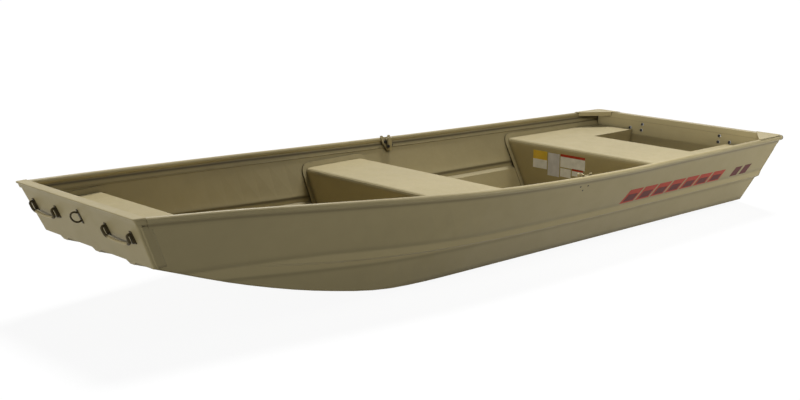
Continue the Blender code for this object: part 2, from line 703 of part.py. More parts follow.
def make_handle(name, side, paint):
    """A carrying handle on the bow panel, bent from one rod: at each end an arm lies up the
    panel on its pad and turns out at the top, and the grip hangs between the arms."""
    rake = Vector((gunwale_top(1.0) - chine_height(1.0), 0.0, -BOW_RAKE)).normalized()
    up = Vector((-rake.z, 0.0, rake.x))
    top = gunwale_top(1.0) - BOW_CAP_LIP - HANDLE_BELOW_CAP - HANDLE_PAD_MARGIN
    foot = top - HANDLE_ARM * up.z

    def off_panel(across, rise, reach):
        z = foot + rise * up.z
        return Vector((bow_face(z) + GAP / rake.x, side * (HANDLE_CENTRE + across), z)) + rake * reach

    pads = []
    for i, across in enumerate((-HANDLE_SPAN / 2, HANDLE_SPAN / 2)):
        corners = [(across - HANDLE_PAD, -HANDLE_PAD_MARGIN), (across + HANDLE_PAD, -HANDLE_PAD_MARGIN),
                   (across + HANDLE_PAD, HANDLE_ARM + HANDLE_PAD_MARGIN),
                   (across - HANDLE_PAD, HANDLE_ARM + HANDLE_PAD_MARGIN)]
        pad_rings = [[off_panel(y, rise, reach) for y, rise in corners]
                     for reach in (0.0, PAD_THICKNESS)]
        pads.append(loft("guide_%s_pad_%d" % (name, i), pad_rings, paint))

    lying = PAD_THICKNESS + HANDLE_BAR * 0.6
    out = PAD_THICKNESS + HANDLE_REACH
    bend = (out - lying) / 2
    arm = [(0.0, 0.0, lying), (0.0, HANDLE_ARM * 0.45, lying)]
    for a in np.linspace(0.0, math.pi, 9):
        arm.append((0.0, HANDLE_ARM - bend * (1 - math.sin(a)), lying + bend * (1 - math.cos(a))))
    low = HANDLE_ARM - HANDLE_DROP
    turn = HANDLE_SPAN * 0.09
    shoulder = low + HANDLE_DROP * 0.14
    for a in np.linspace(0.0, math.pi / 2, 5):
        arm.append((turn * (1 - math.cos(a)), shoulder + turn * (1 - math.sin(a)), out))
    arm.append((HANDLE_SPAN * 0.28, low + HANDLE_DROP * 0.04, out))
    half = [(across - HANDLE_SPAN / 2, rise, reach) for across, rise, reach in arm]
    path = half + [(0.0, low, out)] + [(-across, rise, reach) for across, rise, reach in reversed(half)]
    piece = rod(name, [off_panel(*spot) for spot in path], HANDLE_BAR, paint)
    fuse(piece, pads)


def make_eye(name, y, plate_top, face_x, outwards, legs, reach, wider, paint):
    """A U-bolt and its backing plate. face_x gives the panel's face at a height, outwards is 1
    on the bow and -1 on the stern, and the loop is wider times as wide as its legs."""
    plate_half = legs / 2 + EYE_PLATE_MARGIN
    z = plate_top - plate_half
    rings = []
    for stand in (GAP, GAP + EYE_PLATE):
        rings.append([(face_x(zz) + outwards * stand, yy, zz)
                      for yy, zz in ((y - EYE_PLATE_MARGIN / 2, z - plate_half),
                                     (y + EYE_PLATE_MARGIN / 2, z - plate_half),
                                     (y + EYE_PLATE_MARGIN / 2, z + plate_half),
                                     (y - EYE_PLATE_MARGIN / 2, z + plate_half))])
    plate = loft(name, rings, paint)
    start = GAP + EYE_PLATE / 2
    belly = legs / 2 * wider
    sweep = math.pi - math.asin(1 / wider)
    path = [Vector((face_x(z + legs / 2) + outwards * start, y, z + legs / 2))]
    for a in np.linspace(sweep, -sweep, 13):
        zz = z + belly * math.sin(a)
        path.append(Vector((face_x(zz) + outwards * (reach - belly + belly * math.cos(a)), y, zz)))
    path.append(Vector((face_x(z - legs / 2) + outwards * start, y, z - legs / 2)))
    loop = rod("guide_" + name, path, EYE_BAR, paint)
    fuse(plate, [loop])


def make_oarlock(name, side, paint):
    """An oarlock socket on the gunwale's inner leg: a pad, a face plate with two ears that rise
    past the gunwale's bulb, and an upright bored boss joined to the plate by a web."""
    bead = SKIN + GAP + GUNWALE_LIP
    pad_in = bead + GAP
    plate_in = SKIN / 2 + GUNWALE_TUBE + GAP
    ear_top = 2 * GUNWALE_TUBE + OARLOCK_EAR
    half = OARLOCK_WIDTH / 2
    foot = half * 0.4

    def beside(along, inward, up):
        share = (OARLOCK_AT + along) / LENGTH
        under_leg, top = (Vector(point) for point in side_section(share)[-2:])
        rise = (top - under_leg).normalized()
        spot = top - Vector((rise.y, -rise.x)) * inward + rise * up
        return Vector((station_x(share, spot.y), side * spot.x, spot.y))

    def slab(title, outline, near, far):
        return loft(title, [[beside(x, inward, up) for x, up in outline] for inward in (near, far)], paint)

    shield = [(-half, -OARLOCK_EAR), (half, -OARLOCK_EAR), (foot, -OARLOCK_DEPTH), (-foot, -OARLOCK_DEPTH)]
    eared = [(-half, ear_top), (-half * 0.6, ear_top), (-half * 0.4, ear_top * 0.7),
             (half * 0.4, ear_top * 0.7), (half * 0.6, ear_top), (half, ear_top)] + shield[1:] + shield[:1]
    behind = [(x * 0.9, up - OARLOCK_EAR / 2) for x, up in shield[:2]]
    behind += [(x * 0.9, up + OARLOCK_EAR / 2) for x, up in shield[2:]]
    plate = slab(name, eared, plate_in, plate_in + OARLOCK_PLATE)
    pad = slab("guide_" + name + "_pad", behind, pad_in, plate_in + OARLOCK_PLATE / 4)

    bead_foot = beside(0.0, bead, -GUNWALE_INNER_LEG)
    boss_y = bead_foot.y - side * (OARLOCK_BOSS + OARLOCK_PLATE)
    low = beside(0.0, plate_in, -OARLOCK_DEPTH).z + OARLOCK_EAR / 2
    high = gunwale_top(OARLOCK_AT / LENGTH) + OARLOCK_EAR
    boss = rod("guide_" + name + "_boss", [(OARLOCK_AT, boss_y, z) for z in (low, high)],
               OARLOCK_BOSS, paint, sides=16)
    plate_low = beside(0.0, plate_in + OARLOCK_PLATE / 2, -OARLOCK_DEPTH * 0.8)
    plate_high = beside(0.0, plate_in + OARLOCK_PLATE / 2, GUNWALE_TUBE)
    web_section = [(boss_y, plate_low.z), (plate_low.y, plate_low.z),
                   (plate_high.y, plate_high.z), (boss_y, plate_high.z)]
    web = loft("guide_" + name + "_web",
               [[(OARLOCK_AT + x, y, z) for y, z in web_section] for x in (-foot / 2, foot / 2)], paint)
    fuse(plate, [pad, web, boss])
    bore = rod("cutter_" + name + "_bore",
               [(OARLOCK_AT, boss_y, z) for z in (low - OARLOCK_BOSS, high + OARLOCK_BOSS)],
               OARLOCK_BORE, paint, sides=12)
    fuse(plate, [bore], "DIFFERENCE")
    print(name, "axis", round(boss_y, 4), "from", round(low, 4), "to", round(high, 4))


def make_drain_plug(paint):
    """The drain plug low in the transom."""
    rings = []
    for back, radius in ((0.0, 1.0), (0.5, 1.0), (1.0, 0.7)):
        ring = []
        for a in np.linspace(0, 2 * math.pi, 16, endpoint=False):
            y = PLUG_OUT + PLUG_FLANGE * radius * math.cos(a)
            z = PLUG_HEIGHT + PLUG_FLANGE * radius * math.sin(a)
            ring.append((stern_face(z) - GAP - PLUG_DEPTH * back, y, z))
        rings.append(ring)
    loft("drain_plug", rings, paint)


def stand_on_floor(datum):
    """Puts the boat's lowest point on z = 0 and the middle of its box over the origin."""
    graph = bpy.context.evaluated_depsgraph_get()
    low = np.full(3, np.inf)
    high = np.full(3, -np.inf)
    for piece in datum.children:
        if piece.hide_render:
            continue
        mesh = piece.evaluated_get(graph).to_mesh()
        points = np.array([vertex.co for vertex in mesh.vertices])
        low = np.minimum(low, points.min(axis=0))
        high = np.maximum(high, points.max(axis=0))
    datum.location = (-(low[0] + high[0]) / 2, 0.0, -low[2])
    print("datum", [round(value, 5) for value in datum.location], "size", np.round(high - low, 4))


def main():
    for old in list(bpy.data.objects):
        bpy.data.objects.remove(old, do_unlink=True)
    datum = bpy.data.objects.new("hull_datum", None)
    bpy.context.scene.collection.objects.link(datum)
    hull = material("hull_paint", HULL_PAINT)
    board = material("board_paint", HULL_PAINT, 0.5)
    fittings = material("fitting_paint", FITTING_PAINT, 0.5)
    grey = material("plug_grey", PLUG_GREY, 0.6)
    brass = material("drain_brass", BRASS, 0.35, 1.0)

    make_bottom(hull)
    make_transom(hull)
    make_transom_board(board)
    make_transom_cap(hull)
    make_bow_panel(hull)
    make_bow_cap(hull)
    make_centre_bench(hull)
    make_aft_bench(hull)
    make_deck(hull)
    make_drain_plug(brass)
    for word, side in (("port", 1), ("starboard", -1)):
        make_side("side_sheet_" + word, side, hull)
        make_gunwale("gunwale_" + word, side, hull)
        make_gunwale_plug("gunwale_plug_" + word, side, grey)
        make_gusset("corner_gusset_" + word, side, hull)
        make_handle("bow_handle_" + word, side, fittings)
        make_oarlock("oarlock_socket_" + word, side, fittings)
        make_eye("stern_eye_" + word, side * STERN_EYE_OUT,
                 gunwale_top(0.0) - TRANSOM_CAP_LIP - STERN_EYE_BELOW_CAP,
                 stern_face, -1, STERN_EYE_LEGS, STERN_EYE_REACH, STERN_EYE_BELLY, fittings)
    make_eye("bow_eye", 0.0, gunwale_top(1.0) - BOW_CAP_LIP - BOW_EYE_BELOW_CAP,
             bow_face, 1, BOW_EYE_LEGS, BOW_EYE_REACH, BOW_EYE_BELLY, fittings)
    stand_on_floor(datum)


main()
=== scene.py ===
# %% [markdown]
# # A painted aluminium jon boat
# The hull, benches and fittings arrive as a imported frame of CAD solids. This lesson gives them
# a satin paint, adds the small things that a boatyard adds by hand (weld beads, rivets, bolts,
# striping and blank labels) and sets up the camera, the light and the floor.
# Everything is in metres: +X points to the bow, +Y to port, +Z up, and the floor is z = 0.

import math

import bpy
import numpy as np
from mathutils import Matrix, Vector
from mathutils.bvhtree import BVHTree


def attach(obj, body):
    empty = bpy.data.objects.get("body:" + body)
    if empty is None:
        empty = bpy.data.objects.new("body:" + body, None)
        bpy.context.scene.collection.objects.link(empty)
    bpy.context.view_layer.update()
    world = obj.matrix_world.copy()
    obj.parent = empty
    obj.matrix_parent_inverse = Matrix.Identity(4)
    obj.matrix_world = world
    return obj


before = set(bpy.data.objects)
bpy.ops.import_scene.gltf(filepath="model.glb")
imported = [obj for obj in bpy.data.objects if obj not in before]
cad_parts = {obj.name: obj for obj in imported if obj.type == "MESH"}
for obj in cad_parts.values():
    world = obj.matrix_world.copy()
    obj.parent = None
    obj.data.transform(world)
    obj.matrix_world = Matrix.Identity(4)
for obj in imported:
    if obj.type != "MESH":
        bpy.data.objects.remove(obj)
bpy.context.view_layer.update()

# %% [markdown]
# ## The camera
# A photograph can be turned back into a camera by matching known corners of the object to their
# pixels. The values below came from such a match: the camera stands off the port bow, a little
# above eye level of a kneeling person, with a long lens, so the boat's far end shrinks gently.
# The matrix is written from three unit vectors, which keeps the tiny roll that an Euler angle
# would hide.

# %% Camera
CAMERA_SPOT = np.array([3.917, 3.831, 1.414])
CAMERA_HEADING = math.radians(226.534)
CAMERA_DIP = math.radians(12.599)
CAMERA_ROLL = math.radians(0.501)
FOCAL_PIXELS = 1260.24
IMAGE_WIDTH = 800
SENSOR_WIDTH = 36.0


def camera_axes(heading, dip, roll):
    """Right, up and forward as unit vectors. Forward leans below the horizon by dip along the
    heading; right is forward crossed with +Z; both turn about forward by roll."""
    forward = np.array([math.cos(dip) * math.cos(heading), math.cos(dip) * math.sin(heading),
                        -math.sin(dip)])
    level = np.cross(forward, [0.0, 0.0, 1.0])
    level /= np.linalg.norm(level)
    upright = np.cross(level, forward)
    right = level * math.cos(roll) + upright * math.sin(roll)
    up = upright * math.cos(roll) - level * math.sin(roll)
    return right, up, forward


def add_camera():
    """A perspective camera whose lens gives the focal length that was measured in pixels."""
    lens = bpy.data.cameras.new("photo_camera")
    lens.sensor_fit = "HORIZONTAL"
    lens.sensor_width = SENSOR_WIDTH
    lens.lens = FOCAL_PIXELS / IMAGE_WIDTH * SENSOR_WIDTH
    lens.clip_end = 200.0
    right, up, forward = camera_axes(CAMERA_HEADING, CAMERA_DIP, CAMERA_ROLL)
    turned = Matrix(np.column_stack([right, up, -forward]).tolist()).to_4x4()
    camera = bpy.data.objects.new("photo_camera", lens)
    camera.matrix_world = Matrix.Translation(CAMERA_SPOT.tolist()) @ turned
    bpy.context.scene.collection.objects.link(camera)
    bpy.context.scene.camera = camera
    return camera


camera = add_camera()
print("camera: lens", round(camera.data.lens, 2), "mm")

# %% [markdown]
# ## Small helpers for materials
# A material is a graph of nodes. Writing the graph by hand in the editor is slow to repeat, so a
# tiny builder makes nodes and links from Python. Every finish below is made of the same few
# parts: a colour that drifts slowly over the surface, a roughness that drifts with it, and a fine
# bump. The patterns read Object coordinates, so they stay fixed to the boat at their real size.

# %% Node helpers
class Graph:
    """A material's node graph with short calls for making and joining nodes."""

    def __init__(self, name):
        self.material = bpy.data.materials.new(name)
        self.material.use_nodes = True
        self.nodes = self.material.node_tree.nodes
        self.links = self.material.node_tree.links
        self.shader = self.nodes["Principled BSDF"]
        self.place = self.add("ShaderNodeTexCoord").outputs["Object"]

    def add(self, kind, **settings):
        """A new node; settings are attributes of the node itself."""
        node = self.nodes.new(kind)
        for key, value in settings.items():
            setattr(node, key, value)
        return node

    def feed(self, socket, value):
        """Links an output to a socket, or writes a plain value on it."""
        if isinstance(value, bpy.types.NodeSocket):
            self.links.new(value, socket)
        else:
            socket.default_value = value
        return socket

    def noise(self, scale, detail=2.0, roughness=0.5, stretch=None):
        """Smooth noise in object space; stretch scales each axis first."""
        node = self.add("ShaderNodeTexNoise")
        place = self.place
        if stretch is not None:
            mapping = self.add("ShaderNodeMapping")
            self.feed(mapping.inputs["Vector"], place)
            mapping.inputs["Scale"].default_value = stretch
            place = mapping.outputs["Vector"]
        self.feed(node.inputs["Vector"], place)
        node.inputs["Scale"].default_value = scale
        node.inputs["Detail"].default_value = detail
        node.inputs["Roughness"].default_value = roughness
        return node.outputs["Fac"]

    def remap(self, value, low, high, to_low=0.0, to_high=1.0):
        """Clamped straight-line map of a value from one range to another."""
        node = self.add("ShaderNodeMapRange")
        self.feed(node.inputs["Value"], value)
        node.inputs["From Min"].default_value = low
        node.inputs["From Max"].default_value = high
        node.inputs["To Min"].default_value = to_low
        node.inputs["To Max"].default_value = to_high
        return node.outputs["Result"]

    def math(self, operation, a, b=0.0):
        """One arithmetic step on two values."""
        node = self.add("ShaderNodeMath", operation=operation)
        self.feed(node.inputs[0], a)
        self.feed(node.inputs[1], b)
        return node.outputs["Value"]

    def mix(self, factor, a, b, blend="MIX"):
        """Two colours mixed by a factor."""
        node = self.add("ShaderNodeMix", data_type="RGBA", blend_type=blend)
        self.feed(node.inputs["Factor"], factor)
        self.feed(node.inputs["A"], a)
        self.feed(node.inputs["B"], b)
        return node.outputs["Result"]

    def bump(self, height, distance, strength=1.0, under=None):
        """Tilts the shading normal as if the surface rose by height times distance metres."""
        node = self.add("ShaderNodeBump")
        self.feed(node.inputs["Height"], height)
        node.inputs["Distance"].default_value = distance
        node.inputs["Strength"].default_value = strength
        if under is not None:
            self.feed(node.inputs["Normal"], under)
        return node.outputs["Normal"]

    def curve(self, value, points):
        """A smooth curve through points (input, output), both between 0 and 1."""
        node = self.add("ShaderNodeFloatCurve")
        line = node.mapping.curves[0]
        line.points[0].location, line.points[1].location = points[0], points[-1]
        for point in points[1:-1]:
            line.points.new(*point)
        node.mapping.update()
        self.feed(node.inputs["Value"], value)
        return node.outputs["Value"]

    def axis(self, name):
        """The X, Y or Z of the point in object space."""
        node = self.add("ShaderNodeSeparateXYZ")
        self.feed(node.inputs["Vector"], self.place)
        return node.outputs[name]

    def nook(self, reach, low, high):
        """0 in the open, rising to 1 in corners and recesses that are narrower than the reach."""
        node = self.add("ShaderNodeAmbientOcclusion", samples=8)
        node.inputs["Distance"].default_value = reach
        return self.remap(node.outputs["AO"], high, low)

    def facing(self, name):
        """The X, Y or Z of the surface's normal."""
        node = self.add("ShaderNodeSeparateXYZ")
        self.feed(node.inputs["Vector"], self.add("ShaderNodeNewGeometry").outputs["Normal"])
        return node.outputs[name]

    def finish(self, tint, shine, normal, specular=0.12):
        """Joins colour, roughness and normal to the shader, sets its specular level and returns
        the material."""
        self.feed(self.shader.inputs["Base Color"], tint)
        self.feed(self.shader.inputs["Roughness"], shine)
        self.feed(self.shader.inputs["Normal"], normal)
        self.shader.inputs["Specular IOR Level"].default_value = specular
        return self.material


def shade(colour, factor):
    """A darker or lighter version of a colour, as red, green, blue, alpha."""
    return (*[min(channel * factor, 1.0) for channel in colour[:3]], 1.0)


# %% [markdown]
# ## The hull paint
# The boat is sprayed inside and out with one coat of satin tan paint over bare sheet. Real satin
# paint is never one colour: spray passes leave faint drifts a hand wide, the surface has a fine
# orange-peel texture about a millimetre across, and a little pale dust settles on level places.
# The bottom also loses paint where the pressed runners touch the ground. One function makes all
# of these, and its arguments say how much of each a part shows. It also paints shade into the
# colour: darker in corners, under the gunwale's lip and along every joint, and painted shade and
# highlight along the sides' pressed step.

# %% Paint finish
TAN = (0.436, 0.362, 0.188)
BARE_ALUMINIUM = (0.560, 0.560, 0.545, 1.0)

# The lines below give heights along the hull. A curve node takes numbers from 0 to 1, so a point is
# (share of the length from the stern, metres / scale).
STERN_X = -1.826
HULL_LENGTH = 3.66
PRESS_SCALE = 0.4
GUNWALE_SCALE = 0.5
# The knuckle of the pressed step, and the outer edge of the ledge under it, with PRESS_SCALE.
KNUCKLE_LINE = [(0.0, 0.4325), (0.4, 0.440), (0.6, 0.460), (0.7, 0.505), (0.8, 0.565), (0.86, 0.583),
                (0.92, 0.592), (1.0, 0.612)]
LEDGE_LINE = [(0.0, 0.3325), (0.4, 0.340), (0.6, 0.350), (0.7, 0.365), (0.8, 0.415), (0.86, 0.452),
              (0.92, 0.492), (1.0, 0.550)]
# The gunwale's top, with GUNWALE_SCALE.
GUNWALE_LINE = [(0.0, 0.714), (0.2, 0.724), (0.4, 0.736), (0.6, 0.780), (0.7, 0.818), (0.8, 0.860),
                (0.9, 0.902), (1.0, 0.934)]
# The distance in metres over which the sheet rolls in above the knuckle.
ROLL_REACH = 0.016


def above_line(g, points, scale=PRESS_SCALE):
    """How far a point lies above one of these lines, in metres."""
    share = g.math("DIVIDE", g.math("ADD", g.axis("X"), -STERN_X), HULL_LENGTH)
    return g.math("SUBTRACT", g.axis("Z"), g.math("MULTIPLY", g.curve(share, points), scale))


def facing_out(g):
    """1 on the side sheet's outer face, -1 on its inner face: the sign of normal y times y."""
    return g.math("SIGN", g.math("MULTIPLY", g.facing("Y"), g.axis("Y")))


def ridge(g, distance, middle, width):
    """A soft line: exp(-((distance - middle) / width) squared)."""
    off = g.math("DIVIDE", g.math("SUBTRACT", distance, middle), width)
    return g.math("EXPONENT", g.math("MULTIPLY", g.math("MULTIPLY", off, off), -1.0))


def press_roll(g):
    """The sheet rolls in towards the knuckle: its height falls by exp(-d / ROLL_REACH), where d is
    the distance above the knuckle's line, and the sign turns over on the sheet's inner face."""
    above = g.math("MAXIMUM", above_line(g, KNUCKLE_LINE), 0.0)
    roll = g.math("EXPONENT", g.math("DIVIDE", above, -ROLL_REACH))
    return g.math("MULTIPLY", g.math("MULTIPLY", roll, facing_out(g)), -1.0)


def press_painted_light(g, tint, colour):
    """Painted shade and highlight along the press: outside, painted shade above the knuckle and
    under the ledge with a paler painted highlight between them; inside, painted shade in the groove
    under the knuckle."""
    knuckle, ledge, out = above_line(g, KNUCKLE_LINE), above_line(g, LEDGE_LINE), facing_out(g)
    outside, inside = g.math("MAXIMUM", out, 0.0), g.math("MAXIMUM", g.math("MULTIPLY", out, -1.0), 0.0)
    band = g.math("MULTIPLY", g.remap(knuckle, 0.002, -0.006), g.remap(ledge, -0.001, 0.004))
    tint = g.mix(g.math("MULTIPLY", g.math("MULTIPLY", outside, band), 0.6), tint, shade(colour, 1.22))
    lines = g.math("ADD", g.math("MULTIPLY", ridge(g, knuckle, 0.006, 0.009), 0.22),
                   g.math("MULTIPLY", ridge(g, ledge, -0.005, 0.008), 0.32))
    tint = g.mix(g.math("MULTIPLY", outside, lines), tint, shade(colour, 0.35))
    groove = g.math("MULTIPLY", ridge(g, knuckle, -0.007, 0.008), 0.80)
    return g.mix(g.math("MULTIPLY", inside, groove), tint, shade(colour, 0.20))


def gunwale_painted_shade(g, tint, colour):
    """Painted shade in the recess under the gunwale's bulb, 30 mm below its top: heavy on the inner
    leg, lighter on the outer one."""
    recess = ridge(g, above_line(g, GUNWALE_LINE, GUNWALE_SCALE), -0.030, 0.006)
    strength = g.remap(facing_out(g), -1.0, 1.0, 0.85, 0.45)
    return g.mix(g.math("MULTIPLY", recess, strength), tint, shade(colour, 0.18))


def satin_paint(name, colour=TAN, roughness=0.46, dust=0.35, scuff_below=None, grain=None,
                rolled=False, nook=0.030, shade_under_bulb=False):
    """Satin paint: base colour times a slow drift, dust on level tops, orange-peel bump. Below
    the height scuff_below, faces that point down show bare metal in a worn pattern. grain adds
    long wood fibres, and rolled adds the roll above the sides' pressed knuckle with painted shade
    and a painted highlight along it. Painted shade darkens every corner and recess narrower than
    nook, and with shade_under_bulb the recess under the gunwale's bulb too."""
    g = Graph(name)
    drift = g.noise(2.6, 3.0, 0.55, stretch=(0.6, 1.0, 1.6))
    cloud = g.noise(14.0, 4.0, 0.6)
    tint = g.mix(g.remap(drift, 0.3, 0.7), shade(colour, 0.95), shade(colour, 1.045))
    tint = g.mix(g.remap(cloud, 0.42, 0.75, 0.0, 0.35), tint, shade(colour, 0.90))
    level = g.remap(g.facing("Z"), 0.2, 1.0)
    settled = g.math("MULTIPLY", level, g.remap(g.noise(55.0, 5.0, 0.7), 0.45, 0.75))
    pale = (*(min(part * gain + 0.04, 1.0) for part, gain in zip(colour, (1.25, 1.27, 1.4))), 1.0)
    tint = g.mix(g.math("MULTIPLY", settled, dust), tint, pale)
    shine = g.remap(g.math("ADD", cloud, settled), 0.3, 1.2, roughness - 0.05, roughness + 0.10)
    peel = g.bump(g.noise(900.0, 1.0), 0.00025, 0.35)
    normal = g.bump(g.noise(7.0, 2.0), 0.0012, 0.25, under=peel)
    if rolled:
        normal = g.bump(press_roll(g), 0.0036, 1.0, under=normal)
        # Painted shade and highlight along the pressed step.
        tint = press_painted_light(g, tint, colour)
    if shade_under_bulb:
        # Painted shade in the recess under the gunwale's bulb.
        tint = gunwale_painted_shade(g, tint, colour)
    # Painted shade: corners and recesses narrower than nook are darkened by an ambient-occlusion mask.
    tint = g.mix(g.math("MULTIPLY", g.nook(nook, 0.25, 0.88), 0.85), tint, shade(colour, 0.18))
    if grain is not None:
        fibres = g.noise(18.0, 6.0, 0.62, stretch=grain)
        tint = g.mix(g.remap(fibres, 0.42, 0.62, 0.0, 0.22), tint, shade(colour, 0.80))
        normal = g.bump(fibres, 0.0008, 0.35, under=normal)
    if scuff_below is not None:
        low = g.remap(g.axis("Z"), scuff_below, scuff_below * 0.4)
        worn = g.remap(g.noise(35.0, 8.0, 0.75, stretch=(0.15, 1.0, 1.0)), 0.50, 0.56)
        down = g.remap(g.facing("Z"), -0.5, -0.9)
        bare = g.math("MULTIPLY", g.math("MULTIPLY", low, worn), down)
        tint = g.mix(bare, tint, BARE_ALUMINIUM)
        g.feed(g.shader.inputs["Metallic"], bare)
        shine = g.math("SUBTRACT", shine, g.math("MULTIPLY", bare, 0.12))
    return g.finish(tint, shine, normal)


paints = {
    "sheet": satin_paint("paint_sheet"),
    "side": satin_paint("paint_side", rolled=True, nook=0.045),
    "bottom": satin_paint("paint_bottom", scuff_below=0.004),
    "extrusion": satin_paint("paint_extrusion", roughness=0.40, dust=0.2, nook=0.055),
    "gunwale": satin_paint("paint_gunwale", roughness=0.40, dust=0.2, nook=0.055, shade_under_bulb=True),
    "bench": satin_paint("paint_bench", roughness=0.50, dust=0.45),
    "board": satin_paint("paint_board", roughness=0.55, grain=(1.0, 0.12, 1.6)),
    "weld": satin_paint("paint_weld", roughness=0.38, dust=0.0),
    "dressed": satin_paint("paint_dressed", nook=0.004),
}
print("paints:", ", ".join(sorted(paints)))

# %% [markdown]
# ## Finishes of the fittings
# The handles and eyes are painted too, but by dipping, so their coat is thicker and darker, and
# only the handles' grips are tan. The plug in the gunwale's end is grey moulded plastic, and the
# drain plug is brass. The nuts and rivets are dark, and the washers bright.

# %% Fitting finishes
IRON_PAINT = (0.085, 0.066, 0.032)
GRIP_TAN = (0.520, 0.430, 0.230)
PLUG_GREY = (0.150, 0.140, 0.125)
BRASS = (0.560, 0.400, 0.160)
BOLT_DARK = (0.045, 0.042, 0.036)
BOLT_BRIGHT = (0.330, 0.325, 0.310)
# A handle's middle off the centre line, half its grip's length, and half the width of the edge.
HANDLE_MIDDLE = 0.250
GRIP_HALF = 0.062
GRIP_EDGE = 0.006


def fitting_finish(name, colour, roughness, metallic=0.0, grip=None):
    """Paint, plastic or metal for a small part: drifting colour and a pitted bump. grip is the
    colour of a handle's bar, the part within GRIP_HALF of the handle's middle."""
    g = Graph(name)
    cloud = g.noise(60.0, 4.0, 0.65)
    tint = g.mix(g.remap(cloud, 0.35, 0.7), shade(colour, 0.85), shade(colour, 1.15))
    if grip is not None:
        from_middle = g.math("SUBTRACT", g.math("ABSOLUTE", g.axis("Y")), HANDLE_MIDDLE)
        aside = g.math("ABSOLUTE", from_middle)
        tint = g.mix(g.remap(aside, GRIP_HALF + GRIP_EDGE, GRIP_HALF - GRIP_EDGE), tint, (*grip, 1.0))
    g.shader.inputs["Metallic"].default_value = metallic
    shine = g.remap(cloud, 0.3, 0.8, roughness - 0.08, roughness + 0.1)
    return g.finish(tint, shine, g.bump(g.noise(1400.0, 2.0), 0.0002, 0.4))


fittings = {
    "iron": fitting_finish("finish_iron", IRON_PAINT, 0.50),
    "handle": fitting_finish("finish_handle", IRON_PAINT, 0.50, grip=GRIP_TAN),
    "plug": fitting_finish("finish_plug", PLUG_GREY, 0.55),
    "brass": fitting_finish("finish_brass", BRASS, 0.38, metallic=1.0),
    "dark_bolt": fitting_finish("finish_dark_bolt", BOLT_DARK, 0.42),
    "bright_bolt": fitting_finish("finish_bright_bolt", BOLT_BRIGHT, 0.42, metallic=1.0),
}
print("fittings:", ", ".join(sorted(fittings)))

# %% [markdown]
# ## Films
# Stripes and labels are thin printed films. They need little: an even colour, a soft gloss and
# the faint waviness of a sheet that was pressed on by hand.

# %% Film finishes
def film_finish(name, colour, roughness):
    """A printed film: near-even colour, slightly mottled, with a low smooth wave."""
    g = Graph(name)
    mottle = g.noise(30.0, 4.0, 0.6)
    tint = g.mix(g.remap(mottle, 0.35, 0.7), shade(colour, 0.88), shade(colour, 1.06))
    shine = g.remap(mottle, 0.3, 0.7, roughness - 0.05, roughness + 0.08)
    return g.finish(tint, shine, g.bump(g.noise(25.0, 2.0), 0.0004, 0.3), specular=0.10)


films = {
    "red": film_finish("film_red", (0.480, 0.062, 0.030), 0.42),
    "dark_red": film_finish("film_dark_red", (0.120, 0.022, 0.014), 0.42),
    "white": film_finish("film_white", (0.880, 0.870, 0.840), 0.50),
    "grey": film_finish("film_grey", (0.700, 0.690, 0.720), 0.50),
    "yellow": film_finish("film_yellow", (0.820, 0.560, 0.070), 0.50),
}
print("films:", ", ".join(sorted(films)))

# %% [markdown]
# ## A finish for every CAD node
# Each node of the frame takes one of the finishes above. Port and starboard parts share an entry,
# so the table lists each kind of part once.

# %% Give every CAD node its finish
NODE_FINISH = {
    "aft_bench": paints["bench"],
    "bottom_sheet": paints["bottom"],
    "bow_cap": paints["extrusion"],
    "bow_deck": paints["bench"],
    "bow_eye": fittings["iron"],
    "bow_handle": fittings["handle"],
    "bow_panel": paints["sheet"],
    "centre_bench": paints["bench"],
    "corner_gusset": paints["bench"],
    "drain_plug": fittings["brass"],
    "gunwale_plug": fittings["plug"],
    "gunwale": paints["gunwale"],
    "oarlock_socket": paints["extrusion"],
    "side_sheet": paints["side"],
    "stern_eye": fittings["iron"],
    "transom_board": paints["board"],
    "transom_cap": paints["extrusion"],
    "transom_sheet": paints["sheet"],
}


def finish_for(node):
    """The finish of a node: the entry with its name, or its name without the side."""
    plain = node.removesuffix("_port").removesuffix("_starboard")
    return NODE_FINISH[plain]


for node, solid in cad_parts.items():
    finish = finish_for(node)
    if len(solid.data.materials) == 0:
        solid.data.materials.append(finish)
    for index in range(len(solid.data.materials)):
        solid.data.materials[index] = finish
print("finished", len(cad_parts), "nodes")

# %% [markdown]
# ## Small helpers for shapes
# The pieces that a boatyard adds are thin or round, and most are repeated. Four helpers make them
# all. A skin closes a stack of rings, a bead carries a rippled ring along a path, a film is a
# closed sheet with a front and a back, and a stamp copies one small body to many places. Each
# works on whole arrays, which is faster and shorter than moving vertices one at a time.

# %% Shape helpers
SIDES = ((1, "port"), (-1, "starboard"))
# Rays towards a side start this far off the centre line, outside the hull.
OUTSIDE = 0.9


def add_piece(name, points, faces, finish, slot, smooth=True):
    """A mesh object at the origin with one finish. It rides on the hull; slot is not used."""
    mesh = bpy.data.meshes.new(name)
    mesh.from_pydata(np.asarray(points, float).tolist(), [], [list(face) for face in faces])
    mesh.polygons.foreach_set("use_smooth", np.full(len(mesh.polygons), smooth))
    mesh.materials.append(finish)
    piece = bpy.data.objects.new(name, mesh)
    bpy.context.scene.collection.objects.link(piece)
    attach(piece, "root")
    return piece


def skin(rings):
    """Points and faces of a closed body. rings is an array (n, m, 3) whose first and last rings
    are single repeated points: they become the two poles, fans join them to their neighbours,
    and quads join each ring to the next."""
    n, m = rings.shape[0] - 2, rings.shape[1]
    points = np.concatenate([rings[1:-1].reshape(-1, 3), rings[0, :1], rings[-1, :1]])
    i, j = np.meshgrid(np.arange(n - 1), np.arange(m), indexing="ij")
    k = (j + 1) % m
    quads = np.stack([i * m + j, i * m + k, (i + 1) * m + k, (i + 1) * m + j], axis=-1).reshape(-1, 4)
    j = np.arange(m)
    k = (j + 1) % m
    first = np.stack([np.full(m, n * m), k, j], axis=-1)
    last = np.stack([np.full(m, n * m + 1), (n - 1) * m + j, (n - 1) * m + k], axis=-1)
    return points, quads.tolist() + first.tolist() + last.tolist()


